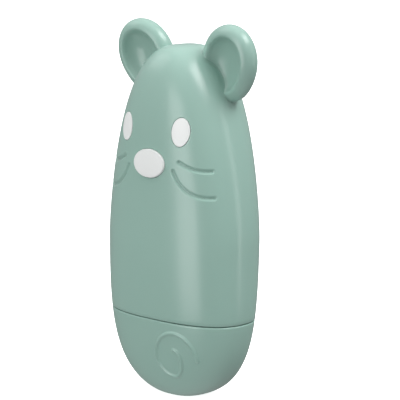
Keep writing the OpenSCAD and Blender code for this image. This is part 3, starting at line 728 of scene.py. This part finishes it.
# %% White inserts
def white_plastic(name, roughness, tone=234):
    """White plastic whose tone drifts by 5 of 255 levels."""
    mat, shader, h, place = new_material(name, roughness, IOR=1.5, Subsurface_Weight=0.1,
                                         Subsurface_Radius=(0.002, 0.002, 0.002), Subsurface_Scale=0.5)
    drift = h.noise(place, 60.0, 2.0)
    deep, pale = linear(tone, tone + 3, tone + 2), linear(tone + 5, tone + 7, tone + 6)
    feed(h, shader, Base_Color=h.mix(drift, deep, pale),
         Roughness=roughness - 0.02 + drift * 0.04, Normal=bump(h, h.noise(place, 4200.0), 0.000003))
    return mat


insert_white = white_plastic("insert_white", 0.34)
for piece in inserts:
    piece.data.materials.append(insert_white)

# %% [markdown]
# ## Steel and soft grips
# The tools are fine brushed stainless steel: the brushing is noise stretched along the tool's length,
# which changes the roughness and gives very shallow scratches.

# %% Tool materials
def steel(name, colour, roughness, scale):
    """Brushed steel: noise stretched by a scale for each axis."""
    mat, shader, h, place = new_material(name, roughness, Metallic=1.0)
    stretched = h.out(h.node("ShaderNodeMapping", Vector=place, Scale=scale))
    lines = h.noise(stretched, 1.0, 4.0, 0.6)
    feed(h, shader, Base_Color=h.mix(lines, linear(*[v - 10 for v in colour]), linear(*colour)),
         Roughness=roughness - 0.06 + lines * 0.14, Normal=bump(h, lines, 0.000004))
    return mat


tool_steel = steel("tool_steel", (214, 215, 218), 0.24, (9000.0, 9000.0, 120.0))
grip_mint = mint_plastic("grip_mint", (158, 190, 181), 0.5, 0.000008)
rack_white = white_plastic("rack_white", 0.5, 205)

# %% [markdown]
# ## Tools as plates with soft edges
# Handles, blades, grips and pads are flat shapes with rounded edges. An outline is first resampled
# evenly and smoothed round its loop, which rounds its corners. The plate is then a stack of loops:
# a quarter circle leads from each face to the side. Its faces can swell a little, like a cushion.

# %% Plate helpers
def low_waves(loop, fade):
    """A closed loop with each of its waves faded by its own factor: FFT, times fade, and back."""
    soft = np.fft.ifft(np.fft.fft(loop[:, 0] + 1j * loop[:, 1]) * fade)
    return np.stack([soft.real, soft.imag], -1)


def soft_loop(corners, blur, count=240):
    """An even loop of points through the corners, smoothed by fading its fine waves, so that
    each corner gets a radius of about blur."""
    c = np.asarray(corners, float)
    c = np.concatenate([c, c[:1]])
    arc = np.concatenate([[0], np.cumsum(np.linalg.norm(np.diff(c, axis=0), axis=1))])
    s = np.linspace(0, arc[-1], count, endpoint=False)
    loop = np.stack([np.interp(s, arc, c[:, k]) for k in (0, 1)], -1)
    wave = np.fft.fftfreq(count, arc[-1] / count) * 2 * np.pi
    fade = np.exp(-(wave * blur) ** 2 / 2)
    return low_waves(loop, fade)


def inwards(loop):
    """Unit directions to the inside of a loop, from the difference of its neighbours."""
    step = np.roll(loop, -1, axis=0) - np.roll(loop, 1, axis=0)
    after = np.roll(loop, -1, axis=0)
    turn_way = np.sign((loop[:, 0] * after[:, 1] - loop[:, 1] * after[:, 0]).sum())
    size = np.linalg.norm(step, axis=1, keepdims=True)
    return turn_way * np.stack([-step[:, 1], step[:, 0]], -1) / size


def plate_rings(loop, low, high, edge, crown=0.0, star=True):
    """Loops (u, v, depth) of a plate between two depths, from the middle of one face over the
    side to the middle of the other, and whether its faces close in a point."""
    way, middle = inwards(loop), loop.mean(0)
    quarter = np.linspace(0, np.pi / 2, 6)
    shares = (0.15, 0.4, 0.65, 0.85) if star else ()
    inset = loop + way * edge
    rings = [(middle + (inset - middle) * s, low - crown * (1 - s * s)) for s in shares]
    rings += [(loop + way * edge * (1 - math.sin(t)), low + edge * (1 - math.cos(t))) for t in quarter]
    rings += [(loop + way * edge * (1 - math.cos(t)), high - edge * (1 - math.sin(t))) for t in quarter]
    rings += [(middle + (inset - middle) * s, high + crown * (1 - s * s)) for s in shares[::-1]]
    stack = np.stack([np.concatenate([uv, np.full((len(uv), 1), d)], -1) for uv, d in rings])
    return stack, np.array([[*middle, low - crown], [*middle, high + crown]])


def plate(loop, low, high, edge, crown=0.0, star=True, plane="xz"):
    """Points and faces of a plate. A face that isn't star-shaped is closed by one flat polygon."""
    rings, ends = plate_rings(loop, low, high, edge, crown, star)
    m, n = rings.shape[:2]
    points = rings.reshape(-1, 3)
    if star:
        faces = capped_faces(m, n, flip=True)
        points = np.concatenate([points, ends])
    else:
        faces = [grid_faces(m, n), np.arange(n)[None, ::-1], (m - 1) * n + np.arange(n)[None]]
    order = [0, 2, 1] if plane == "xz" else [2, 0, 1]
    return points[:, order], faces


def tool(name, parts, node, body, material, flat_above=35):
    """A tool part: one mesh with its faces turned outwards, on its body and with its material."""
    piece = joined(name, parts, flat_above=flat_above)
    bm = bmesh.new()
    bm.from_mesh(piece.data)
    bmesh.ops.recalc_face_normals(bm, faces=bm.faces)
    bm.to_mesh(piece.data)
    bm.free()
    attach(piece, body)
    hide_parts(node)
    piece.data.materials.append(material)
    return piece


def box_corners(box):
    """The four corners of a box seen from the front."""
    (x0, _, z0), (x1, _, z1) = box
    return [(x0, z0), (x1, z0), (x1, z1), (x0, z1)]


# %% [markdown]
# ## Scissors
# Each handle is a finger ring with a stem. Seen from the ring's centre, its outline is the further
# of two curves, the circle and the stem, so one list of radii by angle describes it. The section
# between outline and hole is a rounded bar. The blades are slim plates with a bevelled edge.

# %% Scissor handles and blades
ring_box = np.array(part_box("scissor_handle_right"))
RING_X, RING_R = ring_box[:, 0].mean(), np.ptp(ring_box[:, 0]) / 2
RING_Z, HOLE_R, BLADE_W = ring_box[1, 2] - RING_R, 7.25 * MM, 7 * MM
PIVOT_Z = np.array(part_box("scissor_pivot_screw"))[:, 2].mean()
STEM_Z, TIP_Z = PIVOT_Z + 11 * MM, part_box("scissor_blade_front")[0][2] - 0.2 * MM
RING_COLS, BAR_BEND = 220, 0.55


def ray_to(corners, centre, angles):
    """How far a ray from the centre goes before it leaves a closed polygon."""
    c = np.asarray(corners) - centre
    d = np.roll(c, -1, axis=0) - c
    ray = circle(angles)[:, None]
    cross = ray[..., 0] * d[:, 1] - ray[..., 1] * d[:, 0]
    cross = np.where(np.abs(cross) < 1e-12, 1e-12, cross)
    far = (c[:, 0] * d[:, 1] - c[:, 1] * d[:, 0]) / cross
    along = (c[:, 0] * ray[..., 1] - c[:, 1] * ray[..., 0]) / cross
    return np.where((far > 0) & (along >= 0) & (along <= 1), far, 0).max(1)


def ring_handle(side, box):
    """Points and faces of a finger ring and its stem: a rounded bar between outline and hole."""
    angles = turns(RING_COLS)
    centre = np.array([RING_X, RING_Z])
    x, z = RING_X / MM, RING_Z / MM
    stem = np.array([[0.4, STEM_Z / MM], [8.6, STEM_Z / MM], [x + 7.8, z - 6.2],
                     [x, z + 1.7], [0.4, z - 2]]) * MM
    radius = np.maximum(RING_R, ray_to(stem, centre, angles))
    outline = centre + radius[:, None] * circle(angles)
    fade = np.exp(-(np.fft.fftfreq(RING_COLS) * RING_COLS / 26) ** 2)
    outer = low_waves(outline, fade)
    outer[:, 0] = np.maximum(outer[:, 0], 0.35 * MM)
    hole = centre + HOLE_R * circle(angles)
    y0, y1 = box[0][1], box[1][1]
    mid, half = (y0 + y1) / 2, (y1 - y0) / 2
    t = turns(28)
    share, depth = 0.5 + 0.5 * squared(np.cos(t), BAR_BEND), mid + half * squared(np.sin(t), BAR_BEND)
    uv = hole[None] + (outer - hole)[None] * share[:, None, None]
    depth = np.broadcast_to(depth[:, None, None], uv.shape[:2] + (1,))
    p = np.concatenate([uv, depth], -1)[..., [0, 2, 1]].reshape(-1, 3) * [side, 1, 1]
    first = np.arange(RING_COLS)
    return p, [grid_faces(len(t), RING_COLS), loop_faces((len(t) - 1) * RING_COLS + first, first)]


def blade_loop(side):
    """Outline of a blade and its tang, from the tip round the wide edge to the tang and back."""
    w, tip, pin = BLADE_W / MM / 2, TIP_Z / MM, PIVOT_Z / MM
    r, top = RING_X / MM, (RING_Z - RING_R) / MM + 1.5
    corners = np.array([[-1.6, tip + 1.2], [-0.8, tip + 0.1], [0.8, tip + 0.1], [1.6, tip + 1.2],
                        [w - 0.3, pin - 6], [w, pin + 1], [r * 0.45 + 2.1, top - 6],
                        [r * 0.62 + 1.4, top], [r * 0.62 - 1.4, top], [r * 0.45 - 2.1, top - 7],
                        [0.7, pin + 9], [-w, pin + 3], [-w, pin - 4]]) * MM
    return soft_loop(corners, 0.5 * MM, 320) * [side, 1]


for side, word, blade_node, body in ((1, "right", "scissor_blade_front", "scissor_right_half"),
                                     (-1, "left", "scissor_blade_rear", "scissor_left_half")):
    node = "scissor_handle_" + word
    tool("scissor_ring_" + word, [ring_handle(side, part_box(node))], node, body, grip_mint)
    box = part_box(blade_node)
    blade = plate(blade_loop(side), box[0][1], box[1][1], 0.35 * MM, star=False)
    tool("scissor_steel_" + word, [blade], blade_node, body, tool_steel,
         flat_above=20)

# %% [markdown]
# ## File and grips
# The soft grips are cushions with rounded corners. The file's steel has a fine grit, which is a
# bump in its material, since grains of 0.05 mm are too small to model.

# %% File and grips
grit, shader, h, place = new_material("file_grit", 0.5, Metallic=0.9)
grains = h.noise(place, 9000.0, 2.0, 0.7)
feed(h, shader, Base_Color=h.mix(grains, linear(165, 167, 170), linear(205, 206, 208)),
     Roughness=0.4 + grains * 0.2, Normal=bump(h, grains, 0.00003))


def cushion(name, node, body, blur, edge, crown, material=grip_mint):
    """A rounded plate that fills the box of an engineering node."""
    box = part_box(node)
    corners = np.array(box_corners(box))
    loop = soft_loop(corners, blur)
    mid = loop.mean(0)
    loop = mid + (loop - mid) * np.ptp(corners, axis=0) / np.ptp(loop, axis=0)
    shape = plate(loop, box[0][1] + crown, box[1][1] - crown, edge, crown)
    tool(name, [shape], node, body, material)


cushion("file_grip", "file_handle", "nail_file", 1.6 * MM, 0.9 * MM, 0.4 * MM)
cushion("file_steel_blade", "file_blade", "nail_file", 0.9 * MM, 0.2 * MM, 0.0, grit)
cushion("clipper_thumb_pad", "clipper_lever_grip", "clipper_lever_arm", 1.2 * MM, 0.5 * MM, 0.15 * MM)
cushion("clipper_back_pad", "clipper_body_grip", "clipper_frame", 1.2 * MM, 0.45 * MM, 0.1 * MM)

# %% [markdown]
# ## Clipper jaws
# The jaws are plates seen from the side: their outline lies in depth and height, with a smooth
# curl to the cutting edge.

# %% Clipper jaws
def jaw_loop(box, inner_side):
    """Side view of a jaw: straight up from the tail, then curling in to a thin edge."""
    y0, y1, z0, z1 = box[0][1], box[1][1], box[0][2], box[1][2]
    t = 1.4 * MM
    outer, way = (y1, -1) if inner_side < 0 else (y0, 1)
    inner = outer + way * t
    tip = outer + way * (abs(y1 - y0))
    corners = [(outer, z0), (outer, z1 - 5 * MM), (tip - way * 0.6 * MM, z1), (tip, z1),
               (inner, z1 - 5.2 * MM), (inner, z0)]
    return soft_loop(corners, 0.25 * MM, 400)


for node, body, name, way in (("clipper_lower_jaw", "clipper_frame", "clipper_jaw_back", -1),
                              ("clipper_upper_jaw", "clipper_top_jaw", "clipper_jaw_front", 1)):
    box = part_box(node)
    tool(name, [plate(jaw_loop(box, way), box[0][0], box[1][0], 0.3 * MM, star=False, plane="yz")],
         node, body, tool_steel, flat_above=20)


# %% [markdown]
# ## Tweezers
# The arms are strips whose middle line bows outwards and whose width tapers to the tip. Each is a
# rounded section carried along a line, and so is the soft pad that lies on it.

# %% Tweezer arms and pads
TWEEZER_X, TWEEZER_Y = (np.array(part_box("tweezer_tail_rivet")).mean(0)[:2])
ARM_T = 1.2 * MM
ARM_LOW, ARM_TOP = np.array(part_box("tweezer_arm_right"))[:, 2]


def arm_line(z):
    """Outer face of an arm, sideways from the middle, by height: tail, bow and tip."""
    low, top = ARM_LOW / MM, ARM_TOP / MM
    return np.interp(z / MM, [low, low + 5, low + 30, top - 12, top], [2.85, 3.7, 4.1, 1.5, 1.5]) * MM


def strip(side, z, inner, outer, width):
    """A rounded section (between inner and outer, and of the given width) carried up the line z."""
    t = turns(24)
    c, s = squared(np.cos(t), 0.45), squared(np.sin(t), 0.45)
    x = (inner + outer)[:, None] / 2 + (outer - inner)[:, None] / 2 * c
    y = width[:, None] / 2 * s
    p = np.stack(np.broadcast_arrays(side * x + TWEEZER_X, y + TWEEZER_Y, z[:, None]), -1)
    m, n = len(z), len(t)
    ends = p[[0, -1]].mean(1)
    return np.concatenate([p.reshape(-1, 3), ends]), capped_faces(m, n, flip=True)


def smoothed(values, width):
    """A running average that keeps the ends as they are."""
    pad = np.pad(values, width, mode="edge")
    return np.convolve(pad, np.ones(2 * width + 1) / (2 * width + 1), mode="valid")


for side, word in ((1, "right"), (-1, "left")):
    body = "tweezers_" + word + "_arm"
    z = np.linspace(ARM_LOW, ARM_TOP, 160)
    outer = smoothed(arm_line(z), 5)
    up = (z - ARM_LOW) / MM
    width = smoothed(np.interp(up, [0, 34, 77.5, 80], [2.0, 7.0, 7.0, 5.4]) * MM, 3)
    inner = outer - ARM_T * np.interp(up, [0, 5], [0.45, 1.0])
    tool("tweezer_steel_" + word, [strip(side, z, inner, outer, width)], "tweezer_arm_" + word, body,
         tool_steel)
    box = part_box("tweezer_grip_" + word)
    zp = box[0][2] + (box[1][2] - box[0][2]) * (0.5 - 0.5 * np.cos(np.linspace(0, np.pi, 60)))
    rise = np.clip(1 - np.abs(2 * (zp - zp.mean()) / np.ptp(zp)) ** 6, 0, 1) ** 0.5
    face = max(abs(box[0][0] - TWEEZER_X), abs(box[1][0] - TWEEZER_X))
    low = np.interp(zp, z, outer)
    pad = strip(side, zp, low, low + (face - low) * rise + 1e-5, 8 * MM * (0.75 + 0.25 * rise))
    tool("tweezer_pad_" + word, [pad], "tweezer_grip_" + word, body, grip_mint)

# %% [markdown]
# ## Parts carried over
# The small turned parts and the rack are good as the engineering model has them, so they only get
# their material. The slot of each node says which one.

# %% Carried-over parts
for name, node in frame["nodes"].items():
    slot = next(s["material_slot"] for s in frame["record"]["subparts"] if s["node"] == name)
    finish = {"polished_steel": tool_steel, "file_steel": tool_steel, "mint_satin": grip_mint,
              "rack_plastic": rack_white}.get(slot)
    if finish:
        node.data.materials.clear()
        node.data.materials.append(finish)

# %% [markdown]
# ## Floor
# A plain white floor runs up into a white background. Only the camera sees it, so the paper's
# brightness can be set without changing the light on the object.

# %% Floor
CAMERA_TURN = 41.68


def stage_floor():
    """A white sheet: flat under the object, then curving up behind it in a quarter circle."""
    t = np.linspace(0, np.pi / 2, 24)
    depth = np.concatenate([[-2.5, 1.2], 1.2 + 1.0 * np.sin(t[1:]), [2.2]])
    height = np.concatenate([[0, 0], 1.0 * (1 - np.cos(t[1:])), [4.0]])
    across = np.array([-4.0, 4.0])
    p = np.stack(np.broadcast_arrays(across[None, :], depth[:, None], height[:, None]), -1)
    p = turned(p.reshape(-1, 3), 2, math.radians(CAMERA_TURN))
    return make_piece("floor", p, [grid_faces(len(depth), 2, closed=False)])


floor = stage_floor()
floor.visible_diffuse = floor.visible_glossy = floor.visible_shadow = False
mat, shader, h, place = new_material("paper", 0.9, Emission_Strength=0.8)
feed(h, shader, Base_Color=h.mix(h.noise(place, 3.0), linear(248, 248, 248), linear(250, 250, 250)))
shader.inputs["Emission Color"].default_value = (1, 1, 1, 1)
floor.data.materials.append(mat)

# %% [markdown]
# ## The sky
# The world is a soft white sky that grows brighter upwards and a little brighter straight down, as
# a pale table does. Its strength is a polynomial in the height of the direction.

# %% World
SKY_LEVEL, SKY_RISE, SKY_BOUNCE, SKY_POLES = 0.3, 0.35, 0.4, 0.38
world = bpy.data.worlds.new("studio")
bpy.context.scene.world = world
world.use_nodes = True
sky = Value(world.node_tree, None)
direction = sky.node("ShaderNodeSeparateXYZ", Vector=sky.out(sky.node("ShaderNodeTexCoord"), 0))
height = sky.out(direction, 2)
glow = SKY_LEVEL + height * SKY_RISE + (height * height) * (height * height * SKY_POLES + SKY_BOUNCE)
background = world.node_tree.nodes["Background"]
background.inputs["Color"].default_value = (1, 1, 1, 1)
world.node_tree.links.new(glow.socket, background.inputs["Strength"])

# %% [markdown]
# ## Soft lights
# Four area lights stand round the object. The tall one in front makes the long highlight down the
# shoulder of the case, and the narrow one at the right draws the thin line along its side.

# %% Lights
def soft_light(name, azimuth, elevation, distance, width, height, power, target=(0, 0, 0.08)):
    """An area light in the direction given by azimuth and elevation, facing the target."""
    a, e = math.radians(azimuth), math.radians(elevation)
    away = np.array([math.sin(a) * math.cos(e), -math.cos(a) * math.cos(e), math.sin(e)])
    data = bpy.data.lights.new(name, "AREA")
    data.shape, data.size, data.size_y, data.energy = "RECTANGLE", width, height, power
    light = bpy.data.objects.new(name, data)
    bpy.context.collection.objects.link(light)
    light.location = Vector(target) + Vector(away) * distance
    light.rotation_euler = Vector(away).to_track_quat("Z", "Y").to_euler()
    return light


# azimuth and elevation in degrees, distance, width and height in metres, power in watts
soft_light("front strip", -4, -2, 1.3, 0.7, 1.1, 7)
soft_light("left high", -60, 40, 1.2, 0.6, 0.6, 1.5)
soft_light("right high", 104, 54, 1.2, 0.9, 0.5, 9)
soft_light("right strip", 122, 4, 1.3, 0.16, 1.0, 1.3)

# %% [markdown]
# ## Camera
# A long lens from a little above, turned round the object from its front. Its three axes are built
# from the turn, the height and the roll, and set as the columns of its matrix.

# %% Camera
CAMERA_UP, CAMERA_ROLL, CAMERA_AWAY = 9.41, 0.853, 0.7
AIM_RIGHT, AIM_UP = 6.3 * MM, 78.05 * MM
LENS, SENSOR = 158.76, 36.0


def look():
    """The camera stands off along its back direction and is rolled a little about its axis."""
    a, e, r = (math.radians(v) for v in (CAMERA_TURN, CAMERA_UP, CAMERA_ROLL))
    back = np.array([math.sin(a) * math.cos(e), -math.cos(a) * math.cos(e), math.sin(e)])
    right = np.array([math.cos(a), math.sin(a), 0.0])
    up = np.cross(back, right)
    aim = right * AIM_RIGHT + np.array([0, 0, AIM_UP])
    data = bpy.data.cameras.new("camera")
    data.lens, data.sensor_width = LENS, SENSOR
    camera = bpy.data.objects.new("camera", data)
    bpy.context.collection.objects.link(camera)
    c, s = math.cos(r), math.sin(r)
    axes = np.stack([c * right + s * up, c * up - s * right, back], 1)
    m = np.eye(4)
    m[:3, :3], m[:3, 3] = axes, aim + back * CAMERA_AWAY
    camera.matrix_world = Matrix(m.tolist())
    return camera


bpy.context.scene.camera = look()
bpy.context.scene.view_settings.view_transform = "Standard"

# %% [markdown]
# ## Final update
# The view layer is brought up to date, so that every object's place is current.

# %% Update the view layer
bpy.context.view_layer.update()
